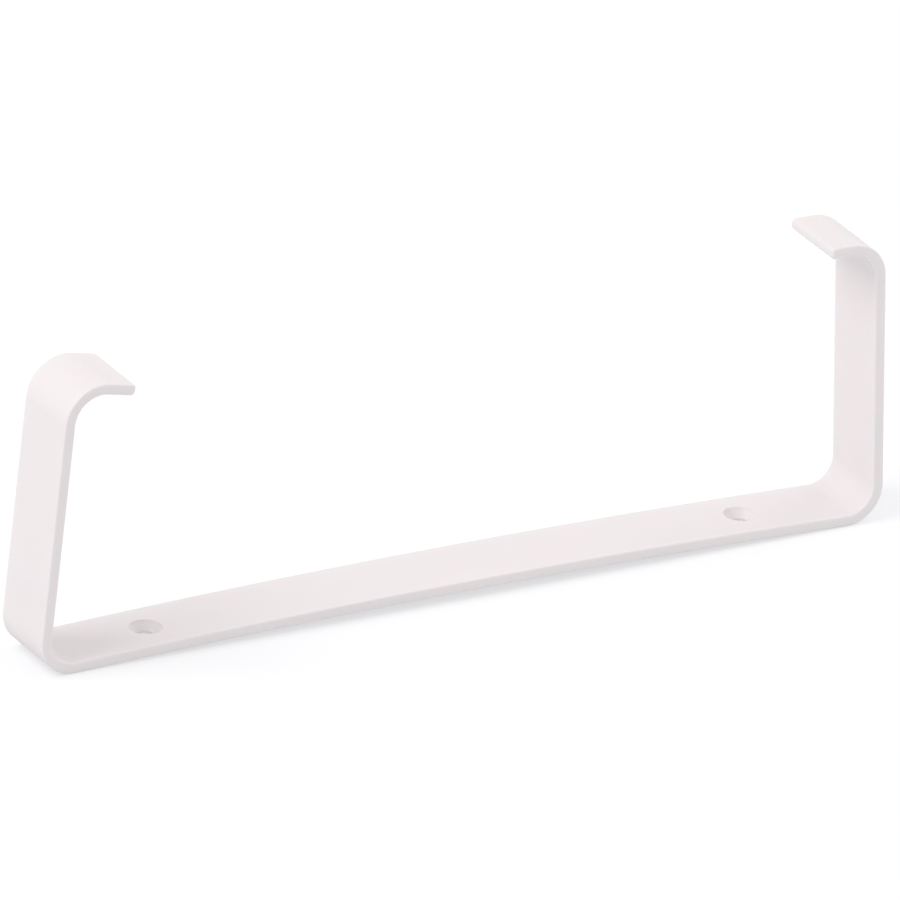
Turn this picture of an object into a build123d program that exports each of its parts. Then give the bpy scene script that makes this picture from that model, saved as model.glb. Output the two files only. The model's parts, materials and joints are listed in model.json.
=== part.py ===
from build123d import *
import os
from math import asin, atan2, cos, degrees, hypot, radians, sin, sqrt, tan

# Snap-in wall clip for flat rectangular ventilation duct.
# The clip is one moulded plastic strap, bent into a wide C: a base that is screwed
# to the wall, a leg at each end, and a short lip at the head of each leg that
# turns in over the duct. There is no second piece.
#
# X runs along the base from leg to leg, Y across the strap and Z away from the wall.
# The origin is midway between the legs, on the middle line of the strap, in the
# plane that the ends of the base stand on. Sizes are in millimetres and degrees.

# The duct that the clip holds, and how the clip fits it. The duct springs the head
# of each leg outwards, and lies between the middle of the base and the lips.
duct_width = 204.0
duct_height = 60.0
side_clearance = 1.5       # between the duct and the foot of each leg
leg_spring = 1.4           # how far the head of each leg stands inside the duct's side
tip_clearance = 0.2        # between the duct and the lower corner of the drooping lip

# The strap's section.
wall = 2.5
strap_width = 18.0
edge_radius = 0.35         # on all four long edges
tip_radius = 0.8           # on the free ends of the lips

# The strap's bends. The base is moulded with a low hump, which the screws pull flat.
base_hump = 1.8            # rise of the base's middle above its ends
foot_bend_radius = 6.0     # inside radius, from base to leg
head_bend_radius = 6.5     # inside radius, from leg to lip

# The duct's edge is hooked under the lip at -X, which turns down, and its other
# edge is then pushed past the shorter, level lip at +X. Each length is the lip's
# straight stretch, past its bend.
hook_lip_length = 6.5
hook_lip_droop = 12.0
snap_lip_length = 5.2
snap_lip_droop = 0.0

# Two countersunk holes for the wall screws, on the strap's middle line.
hole_inset = 22.5          # from the start of the foot bend to the hole's centre
screw_hole_diameter = 4.5
countersink_diameter = 7.5
countersink_angle = 90.0
sink_rim = 0.5             # straight rim over the countersink, which sinks the screw's head
cut_margin = 1.0           # how far a cutter runs past the face that it cuts

# How far the drooping lip's lower corner hangs under a level lip.
droop = radians(hook_lip_droop)
tip_drop = head_bend_radius * (1 - cos(droop)) + hook_lip_length * sin(droop)

# Overall sizes, and the centres of the bends in side view.
clip_length = duct_width + 2 * (side_clearance + wall)
clip_height = wall + base_hump + duct_height + tip_clearance + tip_drop + wall
foot_outer_radius = foot_bend_radius + wall
head_outer_radius = head_bend_radius + wall
foot_x = clip_length / 2 - foot_outer_radius
foot_z = foot_outer_radius
head_x = duct_width / 2 - leg_spring - head_bend_radius
head_z = clip_height - head_outer_radius
foot_centre = Vector(foot_x, foot_z)
head_centre = Vector(head_x, head_z)

# Each leg is the straight run that is tangent to both of its bends, so it leans in.
rise = head_z - foot_z
setback = foot_x - head_x
radius_step = foot_outer_radius - head_outer_radius
leg_lean = degrees(atan2(setback, rise) + asin(radius_step / hypot(setback, rise)))

# The hump is one arc over the whole base, tangent to both foot bends.
hump_radius = (foot_x**2 - 2 * foot_outer_radius * base_hump + base_hump**2) / (2 * base_hump)
hump_centre = Vector(0, base_hump - hump_radius)
hump_slope = degrees(atan2(foot_x, foot_z - hump_centre.Y))

hole_x = foot_x - hole_inset
hole_top_z = hump_centre.Y + sqrt((hump_radius + wall) ** 2 - hole_x**2)


def along(heading):
    """Unit vector at this many degrees from the side view's x axis."""
    return Vector(cos(radians(heading)), sin(radians(heading)))


def inward(heading):
    """Unit vector square to along(heading), towards the inside of the bends."""
    return along(heading + 90)


def strap_line(depth, lip_length, lip_droop):
    """A line of the strap in side view, from the middle of the base to the lip's tip.

    It lies this depth under the outer face, and each stretch is tangent to the next.
    """
    foot_radius = foot_outer_radius - depth
    head_radius = head_outer_radius - depth
    leg_heading = 90 + leg_lean
    lip_heading = 180 + lip_droop

    base_start = hump_centre + inward(0) * (hump_radius + depth)
    base_middle = hump_centre + inward(-hump_slope / 2) * (hump_radius + depth)
    foot_start = foot_centre - inward(-hump_slope) * foot_radius
    foot_middle = foot_centre - inward((leg_heading - hump_slope) / 2) * foot_radius
    leg_start = foot_centre - inward(leg_heading) * foot_radius
    leg_end = head_centre - inward(leg_heading) * head_radius
    head_middle = head_centre - inward((leg_heading + lip_heading) / 2) * head_radius
    lip_start = head_centre - inward(lip_heading) * head_radius
    lip_end = lip_start + along(lip_heading) * lip_length

    return [
        ThreePointArc(base_start, base_middle, foot_start),
        ThreePointArc(foot_start, foot_middle, leg_start),
        Line(leg_start, leg_end),
        ThreePointArc(leg_end, head_middle, lip_start),
        Line(lip_start, lip_end),
    ]


def half_side_view(lip_length, lip_droop):
    """The +X half of the strap in side view, with its free end rounded."""
    outer = strap_line(0, lip_length, lip_droop)
    inner = strap_line(wall, lip_length, lip_droop)
    cut = Line(inner[0] @ 0, outer[0] @ 0)
    tip = Line(outer[-1] @ 1, inner[-1] @ 1)
    outline = make_face(outer + [tip] + inner + [cut])
    tip_corners = outline.vertices().sort_by_distance(tip @ 0.5)[:2]
    return fillet(tip_corners, tip_radius)


def screw_hole(x):
    """The space that one screw takes: a straight hole, countersunk from the inside."""
    screw_radius = screw_hole_diameter / 2
    sink_radius = countersink_diameter / 2
    sink_top_z = hole_top_z - sink_rim
    sink_bottom_z = sink_top_z - (sink_radius - screw_radius) / tan(radians(countersink_angle / 2))
    half_section = Polyline(
        (0, -cut_margin),
        (screw_radius, -cut_margin),
        (screw_radius, sink_bottom_z),
        (sink_radius, sink_top_z),
        (sink_radius, hole_top_z + cut_margin),
        (0, hole_top_z + cut_margin),
        close=True,
    )
    return Pos(x, 0, 0) * revolve(Plane.XZ * make_face(half_section), Axis.Z)


def clip_strap():
    """The whole clip, from leg to leg."""
    snap_half = half_side_view(snap_lip_length, snap_lip_droop)
    hook_half = mirror(half_side_view(hook_lip_length, hook_lip_droop), about=Plane.YZ)
    side_view = Plane.XZ * (snap_half + hook_half)
    strap = extrude(side_view, amount=strap_width / 2, both=True)
    long_edges = strap.faces().filter_by(Axis.Y).edges()
    return fillet(long_edges, edge_radius) - [screw_hole(-hole_x), screw_hole(hole_x)]


os.makedirs("parts", exist_ok=True)
strap = clip_strap()
export_step(strap, "parts/clip_strap.step")
print(f"clip {clip_length:.1f} x {strap_width:.1f} x {clip_height:.1f} mm, screws {2 * hole_x:.1f} mm apart")
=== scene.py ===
import json
from math import asin, atan2, cos, hypot, radians, sin, sqrt, tan

import bmesh
import bpy
from mathutils import Matrix, Vector


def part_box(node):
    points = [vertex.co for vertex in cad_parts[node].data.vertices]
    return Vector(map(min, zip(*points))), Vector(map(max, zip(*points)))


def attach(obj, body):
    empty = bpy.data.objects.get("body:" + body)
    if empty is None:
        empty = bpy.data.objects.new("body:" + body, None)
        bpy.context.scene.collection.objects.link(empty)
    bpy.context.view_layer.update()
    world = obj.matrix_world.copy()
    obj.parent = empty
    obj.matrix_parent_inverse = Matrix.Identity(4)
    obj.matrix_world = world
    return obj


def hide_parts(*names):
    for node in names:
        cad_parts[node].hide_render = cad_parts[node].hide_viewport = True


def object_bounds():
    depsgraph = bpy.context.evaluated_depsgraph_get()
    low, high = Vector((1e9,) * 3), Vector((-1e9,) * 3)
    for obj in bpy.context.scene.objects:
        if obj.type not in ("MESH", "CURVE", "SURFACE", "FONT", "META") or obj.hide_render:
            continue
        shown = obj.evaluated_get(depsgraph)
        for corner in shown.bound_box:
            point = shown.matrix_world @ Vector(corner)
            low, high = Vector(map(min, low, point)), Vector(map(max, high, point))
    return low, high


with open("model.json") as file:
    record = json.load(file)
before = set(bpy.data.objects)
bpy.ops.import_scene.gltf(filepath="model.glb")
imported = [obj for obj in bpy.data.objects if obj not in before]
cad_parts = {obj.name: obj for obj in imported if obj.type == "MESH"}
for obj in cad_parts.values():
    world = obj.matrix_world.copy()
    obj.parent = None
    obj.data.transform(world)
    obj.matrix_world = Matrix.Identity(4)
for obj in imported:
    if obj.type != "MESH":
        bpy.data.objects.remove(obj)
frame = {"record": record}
cad_low, cad_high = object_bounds()

# The table that the clip stands on: a sheet of white acrylic with a weak glow from below,
# as small parts are shown on. It is much wider than the clip and has no pattern or join.
# The camera sees more of the glow than the clip is lit by, so that the sheet is white.
table_side = 12.0
table_gap = 0.00005        # under the clip, so that the two faces do not flicker

table_mesh = bpy.data.meshes.new("table_top")
sheet = bmesh.new()
bmesh.ops.create_grid(sheet, x_segments=1, y_segments=1, size=table_side / 2)
bmesh.ops.translate(sheet, vec=(0, 0, cad_low.z - table_gap), verts=sheet.verts)
sheet.to_mesh(table_mesh)
sheet.free()
table_top = bpy.data.objects.new("table_top", table_mesh)
bpy.context.scene.collection.objects.link(table_top)

lit_acrylic = bpy.data.materials.new("lit_white_acrylic")
lit_acrylic.use_nodes = True
acrylic_nodes = lit_acrylic.node_tree.nodes
acrylic_links = lit_acrylic.node_tree.links
acrylic = acrylic_nodes["Principled BSDF"]
acrylic.inputs["Base Color"].default_value = (0.545, 0.555, 0.57, 1)
acrylic.inputs["Roughness"].default_value = 0.9
acrylic.inputs["Specular IOR Level"].default_value = 0.0
acrylic.inputs["Emission Color"].default_value = (1, 1, 1, 1)
acrylic.inputs["Emission Strength"].default_value = 0.25
glow = acrylic_nodes.new("ShaderNodeEmission")
glow.inputs["Color"].default_value = (0.21, 0.21, 0.21, 1)
table_seen_directly = acrylic_nodes.new("ShaderNodeLightPath")
sheet_and_glow = acrylic_nodes.new("ShaderNodeAddShader")
acrylic_links.new(table_seen_directly.outputs["Is Camera Ray"], glow.inputs["Strength"])
acrylic_links.new(acrylic.outputs["BSDF"], sheet_and_glow.inputs[0])
acrylic_links.new(glow.outputs["Emission"], sheet_and_glow.inputs[1])
acrylic_links.new(sheet_and_glow.outputs["Shader"], acrylic_nodes["Material Output"].inputs["Surface"])
table_mesh.materials.append(lit_acrylic)

# The studio: a white tent round the table lights the clip from every side, and the camera
# sees it as plain white. The key panel hangs high at the left and the bounce panel low at
# the right, and a small fill panel in front lifts the right end.
tent_colour = (0.99, 0.975, 0.98, 1)
tent_light = 0.745
tent = bpy.data.worlds.new("white_tent")
tent.use_nodes = True
bpy.context.scene.world = tent
tent_nodes = tent.node_tree.nodes
tent_links = tent.node_tree.links
tent_wall = tent_nodes["Background"]
tent_wall.inputs["Color"].default_value = tent_colour
tent_wall.inputs["Strength"].default_value = tent_light
backdrop = tent_nodes.new("ShaderNodeBackground")
backdrop.inputs["Color"].default_value = (1, 1, 1, 1)
backdrop.inputs["Strength"].default_value = 1.0
seen_directly = tent_nodes.new("ShaderNodeLightPath")
tent_or_backdrop = tent_nodes.new("ShaderNodeMixShader")
tent_links.new(seen_directly.outputs["Is Camera Ray"], tent_or_backdrop.inputs["Fac"])
tent_links.new(tent_wall.outputs["Background"], tent_or_backdrop.inputs[1])
tent_links.new(backdrop.outputs["Background"], tent_or_backdrop.inputs[2])
tent_links.new(tent_or_backdrop.outputs["Shader"], tent_nodes["World Output"].inputs["Surface"])


def hang_lamp(name, side, power, colour, place):
    """Hangs a square lamp at this place, turned to the middle of the table."""
    lamp_body = bpy.data.lights.new(name, "AREA")
    lamp_body.shape = "SQUARE"
    lamp_body.size = side
    lamp_body.energy = power
    lamp_body.color = colour
    lamp = bpy.data.objects.new(name, lamp_body)
    lamp.location = place
    lamp.rotation_euler = (-Vector(place)).to_track_quat("-Z", "Y").to_euler()
    lamp.visible_camera = False
    bpy.context.scene.collection.objects.link(lamp)


hang_lamp("key_panel", side=1.0, power=9.6, colour=(1.0, 0.97, 0.95), place=(-1.1, 0.15, 1.3))
hang_lamp("bounce_panel", side=0.8, power=3.0, colour=(1.0, 0.98, 0.975), place=(1.2, 0.3, 0.6))
hang_lamp("fill_panel", side=0.16, power=0.06, colour=(1.0, 0.985, 1.0), place=(0.32, -0.27, 0.17))

bpy.context.scene.view_settings.view_transform = "Standard"

# The camera stands far off with a long lens, as for a catalogue picture, so the clip's
# lines stay nearly parallel. It looks down over the drooping lip's leg along the base.
camera_turn = radians(-31.064)
camera_height = radians(24.7)
camera_tilt = radians(3.5)
camera_distance = 6.31
camera_aim = Vector((-0.00587, cad_low.y, 0.03713))

camera_body = bpy.data.cameras.new("catalogue_camera")
camera_body.lens = 1156.5
camera_body.clip_start = 0.1
camera_body.clip_end = 100.0
camera = bpy.data.objects.new("catalogue_camera", camera_body)
camera_back = Vector((
    sin(camera_turn) * cos(camera_height),
    -cos(camera_turn) * cos(camera_height),
    sin(camera_height),
))
camera.matrix_world = (
    Matrix.Translation(camera_aim + camera_back * camera_distance)
    @ Matrix.Rotation(camera_turn, 4, "Z")
    @ Matrix.Rotation(radians(90) - camera_height, 4, "X")
    @ Matrix.Rotation(camera_tilt, 4, "Z")
)
bpy.context.scene.collection.objects.link(camera)
bpy.context.scene.camera = camera

# The strap: the whole clip is one strip of white plastic, moulded in one shot to a wide
# C. Its base is humped, its legs lean in, and the lips at their heads turn in over the
# duct, one drooping and one level. Two countersunk screw holes go through the base.
strap_low, strap_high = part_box("clip_strap")
clip_length = strap_high.x - strap_low.x
strap_width = strap_high.y - strap_low.y
clip_height = strap_high.z - strap_low.z
wall = 0.0025
base_hump = 0.0018
foot_bend_radius = 0.006
head_bend_radius = 0.0065
hook_lip_length = 0.0065
snap_lip_length = 0.0052
side_clearance = 0.0015    # between the duct and the foot of each leg
leg_spring = 0.0014        # how far the head of each leg stands inside the duct's side
hook_lip_droop = radians(12)
snap_lip_droop = 0.0
tip_round = 0.0008
long_edge_round = 0.00035

mounts = frame["record"]["mounts"]
wall_screws = next(mount for mount in mounts if mount["name"] == "wall_screws")
hole_x = wall_screws["dims"]["spacing_x_mm"] / 2000
screw_hole_radius = wall_screws["dims"]["hole_r_mm"] / 1000
countersink_radius = 0.00375
countersink_slope = radians(45)
sink_rim = 0.0005
hole_edge_round = 0.00005

foot_outer_radius = foot_bend_radius + wall
head_outer_radius = head_bend_radius + wall
foot_x = clip_length / 2 - foot_outer_radius
foot_z = foot_outer_radius
head_x = clip_length / 2 - wall - side_clearance - leg_spring - head_bend_radius
head_z = clip_height - head_outer_radius
rise = head_z - foot_z
setback = foot_x - head_x
radius_step = foot_outer_radius - head_outer_radius
leg_lean = atan2(setback, rise) + asin(radius_step / hypot(setback, rise))
leg_length = sqrt(rise**2 + setback**2 - radius_step**2)
hump_radius = (foot_x**2 - 2 * foot_outer_radius * base_hump + base_hump**2) / (2 * base_hump)
hump_z = base_hump - hump_radius
hump_slope = atan2(foot_x, foot_z - hump_z)
hole_top_z = hump_z + sqrt((hump_radius + wall) ** 2 - hole_x**2)

cell = 0.00075             # length and width of the mesh's cells on the base
hump_turns = 26            # the hump's centre is metres away, so it is turned in few steps
bend_cells = 28
leg_cells = 20
lip_cells = 6
tip_round_cells = 8
edge_round_cells = 4
hole_cells = 16            # cells along each side of the square patch round a hole
corner_angle = radians(60)  # edges that turn further than this are rounded off
nearly_level = 0.9         # least upright part of the normal on the base's two faces
weld_distance = 0.000001


def carry_round(strip, section, centre_x, centre_z, angle, cells):
    """Turns the strip's section about a bend's centre, laying wall behind it."""
    turn = bmesh.ops.spin(
        strip, geom=section, cent=(centre_x, 0, centre_z), axis=(0, -1, 0), angle=angle, steps=cells,
        use_merge=False, use_duplicate=False,
    )
    return turn["geom_last"]


def carry_along(strip, section, heading, length, cells):
    """Draws the strip's section straight on at this heading, laying wall behind it."""
    for _ in range(cells):
        edges = [part for part in section if isinstance(part, bmesh.types.BMEdge)]
        section = bmesh.ops.extrude_edge_only(strip, edges=edges)["geom"]
        corners = [part for part in section if isinstance(part, bmesh.types.BMVert)]
        advance = Vector((cos(heading), 0, sin(heading))) * length / cells
        bmesh.ops.translate(strip, vec=advance, verts=corners)
        section = corners + [edge for edge in strip.edges if set(edge.verts) == set(corners)]
    return section


def lay_half_strip(strip, lip_length, lip_droop):
    """One half of the strap's side, from the middle of the base to the lip's tip."""
    outer = strip.verts.new((0, strap_low.y, base_hump))
    inner = strip.verts.new((0, strap_low.y, base_hump + wall))
    section = [outer, inner, strip.edges.new((outer, inner))]
    leg_heading = radians(90) + leg_lean
    lip_heading = radians(180) + lip_droop
    section = carry_round(strip, section, 0, hump_z, -hump_slope, hump_turns)
    section = carry_round(strip, section, foot_x, foot_z, leg_heading + hump_slope, bend_cells)
    section = carry_along(strip, section, leg_heading, leg_length, leg_cells)
    section = carry_round(strip, section, head_x, head_z, lip_heading - leg_heading, bend_cells)
    carry_along(strip, section, lip_heading, lip_length, lip_cells)


def upright(edge):
    """Whether an edge runs across the strap, from one long edge to the other."""
    return abs(edge.verts[0].co.y - edge.verts[1].co.y) > cell / 2


def on_base(edge):
    """Whether an edge runs lengthwise over the humped base."""
    near, far = (end.co for end in edge.verts)
    return abs(near.x - far.x) > 2 * cell and max(near.z, far.z) < 2 * wall


strip = bmesh.new()
lay_half_strip(strip, hook_lip_length, hook_lip_droop)
bmesh.ops.scale(strip, vec=(-1, 1, 1), verts=strip.verts)
lay_half_strip(strip, snap_lip_length, snap_lip_droop)
bmesh.ops.remove_doubles(strip, verts=strip.verts, dist=weld_distance)
base_edges = [edge for edge in strip.edges if on_base(edge)]
base_cuts = round(foot_x / cell / hump_turns) - 1
bmesh.ops.subdivide_edges(strip, edges=base_edges, cuts=base_cuts, use_grid_fill=True)
bmesh.ops.recalc_face_normals(strip, faces=strip.faces)
side = bmesh.ops.extrude_face_region(strip, geom=strip.faces[:])
far_side = [part for part in side["geom"] if isinstance(part, bmesh.types.BMVert)]
bmesh.ops.translate(strip, vec=(0, strap_width, 0), verts=far_side)
bmesh.ops.recalc_face_normals(strip, faces=strip.faces)

cross_edges = [edge for edge in strip.edges if upright(edge)]
cross_cuts = round(strap_width / cell) - 1
bmesh.ops.subdivide_edges(strip, edges=cross_edges, cuts=cross_cuts, use_grid_fill=True)


def round_corners(across, radius, cells):
    """Rounds the corners that run across the strap, or else those along it."""
    corners = [
        edge for edge in strip.edges
        if upright(edge) == across and edge.calc_face_angle() > corner_angle
    ]
    bmesh.ops.bevel(
        strip, geom=corners, offset=radius, offset_type="OFFSET", affect="EDGES", segments=cells,
        profile=0.5, material=-1, clamp_overlap=False,
    )


round_corners(across=True, radius=tip_round, cells=tip_round_cells)
round_corners(across=False, radius=long_edge_round, cells=edge_round_cells)


def ring(radius, x, z=None, face_depth=None):
    """A ring of edges for a hole, level at height z or this deep under the inner face."""
    circle = bmesh.ops.create_circle(
        strip, cap_ends=False, radius=radius, segments=4 * hole_cells, matrix=Matrix.Translation((x, 0, 0))
    )
    for corner in circle["verts"]:
        if z is None:
            corner.co.z = hump_z + sqrt((hump_radius + wall - face_depth) ** 2 - corner.co.x**2)
        else:
            corner.co.z = z
    edges = [edge for corner in circle["verts"] for edge in corner.link_edges]
    return list(dict.fromkeys(edges))


def open_patch(x, inner_face):
    """Cuts a square patch out of one face of the base and gives its border."""
    reach = hole_cells * cell / 2
    facing = 1 if inner_face else -1
    patch = [
        face for face in strip.faces
        if face.normal.z * facing > nearly_level and face.calc_center_median().z < 2 * wall
        and abs(face.calc_center_median().x - x) < reach and abs(face.calc_center_median().y) < reach
    ]
    patch_edges = [edge for face in patch for edge in face.edges]
    border = [edge for edge in patch_edges if sum(near in patch for near in edge.link_faces) == 1]
    bmesh.ops.delete(strip, geom=patch, context="FACES")
    return border


for x in (-hole_x, hole_x):
    sink_top_z = hole_top_z - sink_rim
    sink_bottom_z = sink_top_z - (countersink_radius - screw_hole_radius) / tan(countersink_slope)
    rings = [
        open_patch(x, inner_face=True),
        ring(countersink_radius + hole_edge_round, x, face_depth=0),
        ring(countersink_radius, x, face_depth=hole_edge_round),
        ring(countersink_radius, x, z=sink_top_z),
        ring(screw_hole_radius, x, z=sink_bottom_z),
        ring(screw_hole_radius, x, face_depth=wall - hole_edge_round),
        ring(screw_hole_radius + hole_edge_round, x, face_depth=wall),
        open_patch(x, inner_face=False),
    ]
    for upper, lower in zip(rings, rings[1:]):
        bmesh.ops.bridge_loops(strip, edges=upper + lower)

bmesh.ops.remove_doubles(strip, verts=strip.verts, dist=weld_distance)
bmesh.ops.recalc_face_normals(strip, faces=strip.faces)
for face in strip.faces:
    face.smooth = True

strap_mesh = bpy.data.meshes.new("moulded_strap")
strip.to_mesh(strap_mesh)
strip.free()
strap = bpy.data.objects.new("moulded_strap", strap_mesh)
bpy.context.scene.collection.objects.link(strap)
even_shading = strap.modifiers.new("even_shading", "WEIGHTED_NORMAL")
even_shading.weight = 100

white_plastic = bpy.data.materials.new("moulded_white_plastic")
white_plastic.use_nodes = True
nodes = white_plastic.node_tree.nodes
links = white_plastic.node_tree.links
plastic = nodes["Principled BSDF"]
plastic.inputs["IOR"].default_value = 1.49
plastic.inputs["Subsurface Weight"].default_value = 0.35
plastic.inputs["Subsurface Radius"].default_value = (1.0, 0.85, 0.8)
plastic.inputs["Subsurface Scale"].default_value = 0.002
place = nodes.new("ShaderNodeTexCoord")


def mottle(scale, detail, roughness):
    """A cloudy pattern fixed to the strap, with this many clouds to the metre."""
    clouds = nodes.new("ShaderNodeTexNoise")
    clouds.inputs["Scale"].default_value = scale
    clouds.inputs["Detail"].default_value = detail
    clouds.inputs["Roughness"].default_value = roughness
    links.new(place.outputs["Object"], clouds.inputs["Vector"])
    return clouds.outputs["Fac"]


def spread(pattern, pattern_low, pattern_high, low, high):
    """Maps a pattern's range to a range of finish."""
    mapped = nodes.new("ShaderNodeMapRange")
    mapped.inputs["From Min"].default_value = pattern_low
    mapped.inputs["From Max"].default_value = pattern_high
    mapped.inputs["To Min"].default_value = low
    mapped.inputs["To Max"].default_value = high
    links.new(pattern, mapped.inputs["Value"])
    return mapped.outputs["Result"]


# The melt cools unevenly, so the white is a little warmer in some patches than in others.
cooling = mottle(scale=45, detail=2, roughness=0.5)
white = nodes.new("ShaderNodeValToRGB")
white.color_ramp.elements[0].position = 0.3
white.color_ramp.elements[0].color = (0.862, 0.829, 0.838, 1)
white.color_ramp.elements[1].position = 0.7
white.color_ramp.elements[1].color = (0.885, 0.843, 0.845, 1)
links.new(cooling, white.inputs["Fac"])
links.new(white.outputs["Color"], plastic.inputs["Base Color"])

# Handling has left the satin gloss a little uneven, and the mould is polished along its
# long edges.
handling = mottle(scale=160, detail=4, roughness=0.6)
satin = spread(handling, pattern_low=0.3, pattern_high=0.7, low=0.40, high=0.50)
axes = nodes.new("ShaderNodeSeparateXYZ")
links.new(place.outputs["Object"], axes.inputs["Vector"])
off_middle = nodes.new("ShaderNodeMath")
off_middle.operation = "ABSOLUTE"
links.new(axes.outputs["Y"], off_middle.inputs[0])
half_width = strap_width / 2
edge_polish = spread(
    off_middle.outputs["Value"], pattern_low=half_width - 2 * long_edge_round,
    pattern_high=half_width, low=0, high=0.1,
)
finish = nodes.new("ShaderNodeMath")
finish.operation = "SUBTRACT"
links.new(satin, finish.inputs[0])
links.new(edge_polish, finish.inputs[1])
links.new(finish.outputs["Value"], plastic.inputs["Roughness"])

# The faces are not quite flat: they sink and swell by hundredths of a millimetre. Over
# that lies the fine even grain of a spark-eroded mould.
sinking = nodes.new("ShaderNodeBump")
sinking.inputs["Strength"].default_value = 0.5
sinking.inputs["Distance"].default_value = 0.00006
links.new(mottle(scale=90, detail=2, roughness=0.4), sinking.inputs["Height"])
grain = nodes.new("ShaderNodeBump")
grain.inputs["Strength"].default_value = 0.3
grain.inputs["Distance"].default_value = 0.000012
links.new(mottle(scale=2400, detail=3, roughness=0.6), grain.inputs["Height"])
links.new(sinking.outputs["Normal"], grain.inputs["Normal"])
links.new(grain.outputs["Normal"], plastic.inputs["Normal"])
strap_mesh.materials.append(white_plastic)

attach(strap, "root")
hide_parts("clip_strap")
